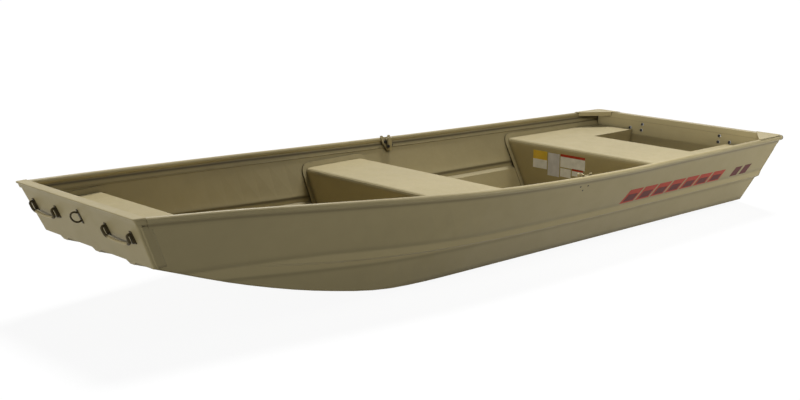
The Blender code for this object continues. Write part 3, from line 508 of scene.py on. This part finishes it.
def turned(profile, sides):
    """A body of revolution about +Z: each (radius, height) of the profile becomes a ring, and
    the first and last radius are 0. The profile runs upwards, so the faces point outwards."""
    radius, height = np.asarray(profile, float).T
    angle = np.linspace(0.0, 2 * np.pi, sides, endpoint=False)
    rings = np.stack([np.outer(radius, np.cos(angle)), np.outer(radius, np.sin(angle)),
                      np.repeat(height[:, None], sides, axis=1)], axis=-1)
    return skin(rings)


def unit(vectors):
    """Vectors scaled to length 1 along their last axis."""
    vectors = np.asarray(vectors, float)
    return vectors / np.linalg.norm(vectors, axis=-1, keepdims=True)


def stamp(name, body, spots, outwards, finish, slot, smooth=True):
    """Copies of one small body: each copy's +Z is turned to its outward direction and its origin
    set on its spot. Point = spot + x * across + y * along + z * outward."""
    points, faces = body
    outwards = unit(outwards)
    helper = np.where(np.abs(outwards[:, 2:]) < 0.9, [[0.0, 0.0, 1.0]], [[1.0, 0.0, 0.0]])
    across = unit(np.cross(helper, outwards))
    along = np.cross(outwards, across)
    turn = np.stack([across, along, outwards], axis=1)
    placed = np.asarray(spots, float)[:, None] + np.einsum("pk,ckd->cpd", points, turn)
    copies = [[corner + copy * len(points) for corner in face]
              for copy in range(len(placed)) for face in faces]
    return add_piece(name, placed.reshape(-1, 3), copies, finish, slot, smooth)


def bead(path, radius, pitch=0.0045, sides=8):
    """A weld bead: a tube about the path, four rings to a ripple. Its radius is radius times
    (0.82 + 0.18 * |sin(pi * s / pitch)|) at length s, so every freeze line of the weld pool shows
    as a waist, and it runs out to a point at both ends. Each ring starts square to (0.31, 0, 1), a
    direction that no path here follows."""
    path = np.asarray(path, float)
    along = np.concatenate([[0.0], np.cumsum(np.linalg.norm(np.diff(path, axis=0), axis=1))])
    s = np.linspace(0.0, along[-1], max(int(along[-1] / pitch * 4), 8))
    spine = np.column_stack([np.interp(s, along, path[:, k]) for k in range(3)])
    tangent = unit(np.gradient(spine, axis=0))
    across = unit(np.cross(tangent, [0.31, 0.0, 1.0]))
    above = np.cross(across, tangent)
    swell = radius * (0.82 + 0.18 * np.abs(np.sin(np.pi * s / pitch)))
    swell = swell * np.sqrt(np.clip(np.minimum(s, along[-1] - s) / (3 * radius), 0.0, 1.0))
    angle = np.linspace(0.0, 2 * np.pi, sides, endpoint=False)[:, None]
    ring = across[:, None] * np.cos(angle) + above[:, None] * np.sin(angle)
    return skin(spine[:, None] + swell[:, None, None] * ring)


def film_body(front, outward, thickness):
    """A thin closed sheet: the front is a grid (n, m, 3), the back is the front moved inwards
    by the thickness, and a rim of quads joins their edges."""
    front = np.asarray(front, float)
    n, m = front.shape[:2]
    back = front - np.asarray(outward, float) * thickness
    points = np.concatenate([front.reshape(-1, 3), back.reshape(-1, 3)])
    i, j = np.meshgrid(np.arange(n - 1), np.arange(m - 1), indexing="ij")
    a, b, c, d = i * m + j, (i + 1) * m + j, (i + 1) * m + j + 1, i * m + j + 1
    faces = np.stack([a, b, c, d], axis=-1).reshape(-1, 4)
    edge = np.concatenate([np.arange(m), np.arange(2, n + 1) * m - 1,
                           (n - 1) * m + np.arange(m - 2, -1, -1), np.arange(n - 2, 0, -1) * m])
    after = np.roll(edge, -1)
    rim = np.stack([edge, after, after + n * m, edge + n * m], axis=-1)
    return points, np.concatenate([faces, faces[:, ::-1] + n * m, rim])


def join(bodies):
    """Several bodies as one: their points in a row, each one's faces counted on from the last."""
    starts = np.cumsum([0] + [len(body[0]) for body in bodies[:-1]])
    points = np.concatenate([body[0] for body in bodies])
    faces = [[corner + start for corner in face]
             for start, body in zip(starts, bodies) for face in body[1]]
    return points, faces


def touch(node, start, direction):
    """Where a straight ray first meets a CAD node, and the outward normal there."""
    spot, normal = trees[node].ray_cast(Vector(start), Vector(direction))[:2]
    return np.array(spot), np.array(normal)


depsgraph = bpy.context.evaluated_depsgraph_get()
trees = {node: BVHTree.FromObject(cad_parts[node], depsgraph)
         for node in ("side_sheet_port", "side_sheet_starboard", "transom_board", "aft_bench",
                      "bow_panel", "oarlock_socket_port", "oarlock_socket_starboard")}
print("ray targets:", len(trees))

# %% [markdown]
# ## Weld beads
# The side sheets are welded to the bottom along the chine and to the transom, and the benches
# are stitched to the sides with short welds a hand apart. A weld shows as a small rope of
# overlapping waves. It could be a bump pattern, but a bump has no outline and leaves the joint's
# open gap in view, so each bead is a real tube half sunk in it. At the bow the joint is filled
# and sanded before painting, so there a feathered strip covers the edge of the panel's fold.

# %% Weld beads
def nodes_points(node):
    """The points of a CAD node as an array, each one once, in the order of their x."""
    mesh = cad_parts[node].data
    points = np.empty(len(mesh.vertices) * 3)
    mesh.vertices.foreach_get("co", points)
    return np.unique(points.reshape(-1, 3).round(5), axis=0)


def mirrored(path, side):
    """A port path as it is for side 1, or on starboard for side -1."""
    return np.asarray(path, float) * [1.0, side, 1.0]


# The bottom's points beyond this y are its port edge's. In the order of x they are averaged two by
# two, and the bead lies a little outside and above them.
CHINE_Y = 0.33
chine = nodes_points("bottom_sheet")
chine = chine[chine[:, 1] > CHINE_Y]
chine = chine[:len(chine) // 2 * 2].reshape(-1, 2, 3).mean(axis=1) + [0.0, 0.0004, 0.0011]
# The corner of the transom and the port side, upwards from the chine.
TRANSOM_SEAM = [(-1.7386, 0.4198, 0.0160), (-1.7693, 0.4764, 0.1335), (-1.7724, 0.4970, 0.1455),
                (-1.7796, 0.5033, 0.1735), (-1.8095, 0.5527, 0.2900)]
for side, word in SIDES:
    add_piece("weld_chine_" + word, *bead(mirrored(chine, side), 0.0019), paints["weld"], "hull_paint")
    add_piece("weld_transom_" + word, *bead(mirrored(TRANSOM_SEAM, side), 0.0021), paints["weld"],
              "hull_paint")


# The bow panel's side edge: its x at two heights.
BOW_EDGE_Z = (0.2765, 0.4634)
BOW_EDGE_X = (1.7312, 1.8166)
# The rows of the dressed strip, and how far ahead of or behind that edge its ends are measured.
STRIP_ROWS = np.linspace(0.2790, 0.4350, 14)
FLANGE_OFFSETS = (0.0080, 0.0020)
SHEET_OFFSETS = (-0.0260, -0.0320)


def stitches(node, count, length=0.030):
    """Short beads along the upturned ends of a bench: count of them on each side, spread evenly
    over the flange's top edge, whose points are the bench's highest."""
    points = nodes_points(node)
    crest = points[(points[:, 2] > points[:, 2].max() - 0.0025) & (points[:, 1] > 0)]
    middle = np.linspace(crest[0, 0] + 0.03, crest[-1, 0] - 0.03, count)
    bodies = []
    for x in middle:
        along = x + np.array([-0.5, 0.0, 0.5]) * length
        path = np.column_stack([along, np.interp(along, crest[:, 0], crest[:, 1]),
                                np.interp(along, crest[:, 0], crest[:, 2])])
        bodies += [bead(mirrored(path, side), 0.0018, sides=6) for side in (1, -1)]
    return bodies


def dressed_strip(word, side):
    """The bow joint after filling and sanding: a feathered strip from the panel's fold, over the
    edge of its flange, down to the side sheet. Rays measure the flange and the side at rows of
    z; between the two, y follows the smooth step 3 t^2 - 2 t^3."""
    def measured(node, offsets):
        """Where rays from outside meet a node: a row for each height, a column for each offset."""
        return np.array([[touch(node, (x + offset, side * OUTSIDE, z), (0, -side, 0))[0]
                          for offset in offsets]
                         for x, z in zip(np.interp(STRIP_ROWS, BOW_EDGE_Z, BOW_EDGE_X), STRIP_ROWS)])

    flange = measured("bow_panel", FLANGE_OFFSETS)
    sheet = measured("side_sheet_" + word, SHEET_OFFSETS)
    start, end = flange[:, 1:], sheet[:, :1]
    t = np.linspace(0.0, 1.0, 13)[None, 1:-1, None]
    slope = start + (end - start) * t
    slope[..., 1:2] = start[..., 1:2] + (end[..., 1:2] - start[..., 1:2]) * (3 * t ** 2 - 2 * t ** 3)
    rows = np.concatenate([flange, slope, sheet], axis=1)
    # Outwards and a little down, as the flared side faces.
    outward = np.array([0.0, side * 0.97, -0.24])
    lift = np.interp(np.arange(rows.shape[1]), [0, 1, rows.shape[1] - 1], [0.0003, 0.0005, 0.00005])
    front = rows + outward * lift[None, :, None]
    return film_body(front if side < 0 else front[:, ::-1], outward, 0.0009)


for side, word in SIDES:
    add_piece("dressed_bow_joint_" + word, *dressed_strip(word, side), paints["dressed"], "hull_paint")

for node, count in (("centre_bench", 4), ("aft_bench", 7), ("bow_deck", 4)):
    add_piece("weld_" + node, *join(stitches(node, count)), paints["weld"], "hull_paint")
print("chine:", len(chine), "points")

# %% [markdown]
# ## Rivets, nuts and washers
# Each oarlock socket is held by three rivets, two above one, whose heads show outside the hull,
# and four nuts sit on its inner face. The tie-down eyes' legs come through the transom board and
# end in nuts on washers. A domed head is a quarter circle turned about its axis; a nut is a turned
# profile with six sides and a chamfered rim. Rays find the surface under each one, so nothing
# floats or sinks.

# %% Rivets, nuts and washers
dome = np.linspace(0.0, np.pi / 2, 6)
RIVET = turned([(0.0, -0.0010), (0.0041, -0.0010),
                *zip(0.0041 * np.cos(dome), 0.0018 * np.sin(dome))], 18)
WASHER = turned([(0.0, -0.0006), (0.0085, -0.0006), (0.0089, -0.0002), (0.0089, 0.0008),
                 (0.0084, 0.0013), (0.0, 0.0013)], 24)
NUT = turned([(0.0, 0.0010), (0.0066, 0.0010), (0.0074, 0.0018), (0.0074, 0.0058), (0.0064, 0.0068),
              (0.0046, 0.0068), (0.0043, 0.0062), (0.0040, 0.0062), (0.0038, 0.0090), (0.0, 0.0094)], 6)
SOCKET_X = -0.2020
RIVET_PLACES = [(0.0250, 0.3245), (-0.0250, 0.3225), (-0.0020, 0.3040)]
SOCKET_NUTS = [(0.0190, 0.3520), (-0.0190, 0.3520), (0.0145, 0.3340), (-0.0145, 0.3340)]


def seated(node, starts, direction, lift=0.0):
    """Where rays from the starts meet a node: arrays of spots and of outward normals."""
    hits = [touch(node, start, direction) for start in starts]
    spots, normals = (np.array(column) for column in zip(*hits))
    return spots + normals * lift, normals


for side, word in SIDES:
    starts = [(SOCKET_X + along, side * OUTSIDE, z) for along, z in RIVET_PLACES]
    spots, outwards = seated("side_sheet_" + word, starts, (0, -side, 0))
    stamp("oarlock_rivets_" + word, RIVET, spots, outwards, fittings["dark_bolt"], "fitting_paint")
    starts = [(SOCKET_X + along, 0.0, z) for along, z in SOCKET_NUTS]
    spots, outwards = seated("oarlock_socket_" + word, starts, (0, side, 0), lift=-0.0008)
    stamp("oarlock_nuts_" + word, NUT, spots, outwards, fittings["dark_bolt"], "fitting_paint",
          smooth=False)

nut_starts = [(-1.5, y, z) for y in (-0.245, 0.245) for z in (0.2840, 0.3150)]
nut_starts += [(-1.5, -0.322, 0.290), (-1.5, 0.312, 0.290)]
spots, inwards = seated("transom_board", nut_starts, (-1, 0, 0))
stamp("transom_washers", WASHER, spots, inwards, fittings["bright_bolt"], "fitting_paint")
stamp("transom_nuts", NUT, spots, inwards, fittings["dark_bolt"], "fitting_paint", smooth=False)
print("rivets:", 2 * len(RIVET_PLACES), "nuts:", 2 * len(SOCKET_NUTS) + len(spots))

# %% [markdown]
# ## Stripe on the sides
# A red mark runs along the upper panel of each side toward the stern. Here it is a plain stripe
# of slanted bars with a dark core, and two dark bars behind it, cut from vinyl film. A film follows
# the sheet's flare, so its grid is laid in two steps: rays measure the side at a row of stations,
# then every grid point is interpolated from them and lifted by a little more than the film's
# thickness.

# %% Side stripe
FILM = 0.0003
FILM_LIFT = FILM + 0.0001
STATIONS = np.linspace(-1.70, -0.50, 61)
STRIPE_LOW = np.array([0.181, 0.1785])
STRIPE_HIGH = np.array([0.246, 0.2300])
STRIPE_SPAN = np.array([-0.555, -1.385])
SLANT = 0.55
MEASURED_HEIGHTS = (0.182, 0.244)
BAR_COUNT = 7
BAR_GAP = 0.014
# A core's distance from its bar's forward end and from the next bar, and its share of the width.
CORE_INSETS = (0.016, 0.026)
CORE_SHARE = (0.10, 0.62)
BADGE_STARTS = (-1.470, -1.556)
BADGE_LENGTH = 0.062
BADGE_SHARE = (0.05, 0.95)


def side_surface(word, side):
    """The side's y at the stations for two heights, measured by rays from outside."""
    columns = [[touch("side_sheet_" + word, (x, side * OUTSIDE, z), (0, -side, 0))[0][1]
                for x in STATIONS] for z in MEASURED_HEIGHTS]
    return np.array(MEASURED_HEIGHTS), np.array(columns)


def bar_body(surface, side, start, end, low=0.0, high=1.0):
    """One slanted bar of film. Along its length x runs from start to end; across its width a
    share t from low to high gives z between the stripe's two edges, and x leans aft by SLANT
    times the height. y is read between the measured heights and stations."""
    heights, columns = surface
    x_line = np.linspace(start, end, 12)[:, None]
    t = np.linspace(low, high, 5)[None, :]
    foot = np.interp(-x_line, -STRIPE_SPAN, STRIPE_LOW)
    head = np.interp(-x_line, -STRIPE_SPAN, STRIPE_HIGH)
    z = foot + (head - foot) * t
    x = x_line - (z - foot) * SLANT
    share = (z - heights[0]) / (heights[1] - heights[0])
    y_low = np.interp(x, STATIONS, columns[0])
    y_high = np.interp(x, STATIONS, columns[1])
    lean = math.atan2(heights[1] - heights[0], abs(columns[1].mean() - columns[0].mean()))
    outward = np.array([0.0, side * math.sin(lean), -math.cos(lean)])
    front = np.stack([x, y_low + (y_high - y_low) * share, z], axis=-1) + outward * FILM_LIFT
    if side > 0:
        front = front[::-1]
    return film_body(front, outward, FILM)


edges = np.linspace(*STRIPE_SPAN, BAR_COUNT + 1)
for side, word in SIDES:
    surface = side_surface(word, side)
    over_bars = (surface[0], surface[1] + side * FILM)
    bars = [bar_body(surface, side, a, b + BAR_GAP) for a, b in zip(edges[:-1], edges[1:])]
    cores = [bar_body(over_bars, side, a - CORE_INSETS[0], b + CORE_INSETS[1], *CORE_SHARE)
             for a, b in zip(edges[:-1], edges[1:])]
    badge = [bar_body(surface, side, a, a - BADGE_LENGTH, *BADGE_SHARE) for a in BADGE_STARTS]
    add_piece("stripe_red_" + word, *join(bars), films["red"], "hull_paint", smooth=False)
    add_piece("stripe_dark_" + word, *join(cores + badge), films["dark_red"], "hull_paint", smooth=False)
print("stripe:", BAR_COUNT, "bars a side")

# %% [markdown]
# ## Blank labels on the aft bench
# Five paper labels are stuck to the front of the aft bench. They carry no print here: each is a
# blank field, some with a plain yellow or red band. Every band is its own film on the riser's
# plane, so the joints between colours are crisp at any distance, which a picture can't promise.

# %% Labels
# Columns: left y, right y, low z, high z, then the colour.
LABEL_FIELDS = [
    (-0.378, -0.285, 0.1555, 0.2020, "white"), (-0.378, -0.285, 0.2020, 0.2470, "yellow"),
    (-0.278, -0.202, 0.1270, 0.2450, "grey"),
    (-0.196, -0.038, 0.1820, 0.2360, "white"), (-0.196, -0.038, 0.2360, 0.2490, "red"),
    (-0.195, -0.1265, 0.1325, 0.1760, "white"),
    (-0.119, -0.048, 0.1470, 0.1720, "white"), (-0.119, -0.048, 0.1720, 0.1835, "red"),
]


def label_body(left, right, low, high):
    """A flat film on the bench's front: a grid in y and z on the plane that rays find there."""
    y, z = np.meshgrid(np.linspace(left, right, 6), np.linspace(low, high, 5), indexing="ij")
    spot, outward = touch("aft_bench", (-0.5, (left + right) / 2, (low + high) / 2), (-1, 0, 0))
    x = spot[0] - ((y - spot[1]) * outward[1] + (z - spot[2]) * outward[2]) / outward[0]
    front = np.stack([x, y, z], axis=-1) + outward * FILM_LIFT
    return film_body(front, outward, FILM)


for colour in ("white", "grey", "yellow", "red"):
    bodies = [label_body(*field[:4]) for field in LABEL_FIELDS if field[4] == colour]
    add_piece("labels_" + colour, *join(bodies), films[colour], "hull_paint", smooth=False)
print("labels:", len(LABEL_FIELDS), "fields")

# %% [markdown]
# ## Light and floor
# The photograph is a catalogue picture: one large soft light overhead, a weaker low light on the
# bow, and white all round. These two are suns with a disc of some degrees, because a sun lights the
# whole floor evenly and an area lamp can't. Three soft boxes help them: off the port quarter, low
# along the port side, and a small one over the port side that reaches the far side's inner wall.
# The floor and the world look white only to the camera and in reflections; for the light they
# bounce they are grey, so that the flared sides stay darker than the benches.

# %% Light, world and floor
SKY_LEVEL = 0.07
SKY_TINT = (0.92, 0.98, 1.12, 1.0)
FLOOR_BOUNCE = 0.22
FLOOR_LIT = 0.10
FLOOR_GLOW = 0.93


def add_sun(name, towards, strength, disc):
    """A sun lamp that shines from the direction towards, with a disc of that many degrees."""
    lamp = bpy.data.lights.new(name, "SUN")
    lamp.energy = strength
    lamp.angle = math.radians(disc)
    sun = bpy.data.objects.new(name, lamp)
    sun.rotation_euler = Vector(towards).to_track_quat("Z", "Y").to_euler()
    bpy.context.scene.collection.objects.link(sun)
    return sun


def seen_directly(nodes, links):
    """1 for rays from the camera and for mirror and glass rays, 0 for bounced light."""
    path = nodes.new("ShaderNodeLightPath")
    first = nodes.new("ShaderNodeMath")
    first.operation = "MAXIMUM"
    links.new(path.outputs["Is Camera Ray"], first.inputs[0])
    links.new(path.outputs["Is Glossy Ray"], first.inputs[1])
    second = nodes.new("ShaderNodeMath")
    second.operation = "MAXIMUM"
    links.new(first.outputs["Value"], second.inputs[0])
    links.new(path.outputs["Is Transmission Ray"], second.inputs[1])
    return second.outputs["Value"]


def set_world():
    """White where it is seen, a soft grey sky where it lights."""
    world = bpy.data.worlds.new("studio")
    bpy.context.scene.world = world
    world.use_nodes = True
    nodes, links = world.node_tree.nodes, world.node_tree.links
    seen = seen_directly(nodes, links)
    level = nodes.new("ShaderNodeMapRange")
    links.new(seen, level.inputs["Value"])
    level.inputs["To Min"].default_value = SKY_LEVEL
    level.inputs["To Max"].default_value = 1.0
    tint = nodes.new("ShaderNodeMix")
    tint.data_type = "RGBA"
    links.new(seen, tint.inputs["Factor"])
    tint.inputs["A"].default_value = SKY_TINT
    tint.inputs["B"].default_value = (1.0, 1.0, 1.0, 1.0)
    background = nodes["Background"]
    links.new(tint.outputs["Result"], background.inputs["Color"])
    links.new(level.outputs["Result"], background.inputs["Strength"])


def add_floor(half=60.0):
    """A large pale floor. Seen directly it glows a little and so reads white, with the boat's
    own shadow on it."""
    mesh = bpy.data.meshes.new("studio_floor")
    corners = np.array([(-half, -half, 0), (half, -half, 0), (half, half, 0), (-half, half, 0)], float)
    mesh.from_pydata(corners.tolist(), [], [(0, 1, 2, 3)])
    floor = bpy.data.objects.new("studio_floor", mesh)
    bpy.context.scene.collection.objects.link(floor)
    paint = bpy.data.materials.new("studio_floor")
    paint.use_nodes = True
    nodes, links = paint.node_tree.nodes, paint.node_tree.links
    nodes.remove(nodes["Principled BSDF"])
    bounce = nodes.new("ShaderNodeBsdfDiffuse")
    bounce.inputs["Color"].default_value = (FLOOR_BOUNCE, FLOOR_BOUNCE, FLOOR_BOUNCE, 1)
    lit = nodes.new("ShaderNodeBsdfDiffuse")
    lit.inputs["Color"].default_value = (FLOOR_LIT, FLOOR_LIT, FLOOR_LIT, 1)
    glow = nodes.new("ShaderNodeEmission")
    glow.inputs["Strength"].default_value = FLOOR_GLOW
    seen = nodes.new("ShaderNodeAddShader")
    links.new(lit.outputs[0], seen.inputs[0])
    links.new(glow.outputs[0], seen.inputs[1])
    choose = nodes.new("ShaderNodeMixShader")
    links.new(seen_directly(nodes, links), choose.inputs["Fac"])
    links.new(bounce.outputs[0], choose.inputs[1])
    links.new(seen.outputs[0], choose.inputs[2])
    links.new(choose.outputs[0], nodes["Material Output"].inputs["Surface"])
    mesh.materials.append(paint)
    return floor


def add_soft_box(name, spot, target, width, height, power):
    """A rectangular lamp aimed at a target; the camera doesn't see it."""
    lamp = bpy.data.lights.new(name, "AREA")
    lamp.shape = "RECTANGLE"
    lamp.size, lamp.size_y = width, height
    lamp.energy = power
    box = bpy.data.objects.new(name, lamp)
    box.location = spot
    box.rotation_euler = (Vector(spot) - Vector(target)).to_track_quat("Z", "Y").to_euler()
    box.visible_camera = False
    bpy.context.scene.collection.objects.link(box)
    return box


add_sun("overhead_light", (-0.55, -0.38, 1.0), 2.9, 16.0)
add_sun("bow_light", (1.0, 0.10, 0.05), 1.2, 4.0)
add_soft_box("stern_light", (-2.9, 3.2, 0.16), (-1.2, 0.5, 0.2), 2.4, 0.3, 42.0)
add_soft_box("port_light", (-0.2, 4.5, 0.16), (-0.2, 0.5, 0.2), 3.6, 0.3, 8.0)
add_soft_box("wall_light", (-0.6, 1.1, 1.5), (-0.45, -0.5, 0.22), 0.9, 0.5, 9.0)
set_world()
add_floor()
bpy.context.scene.view_settings.view_transform = "Standard"
print("light: two suns and three soft boxes, sky", SKY_LEVEL)
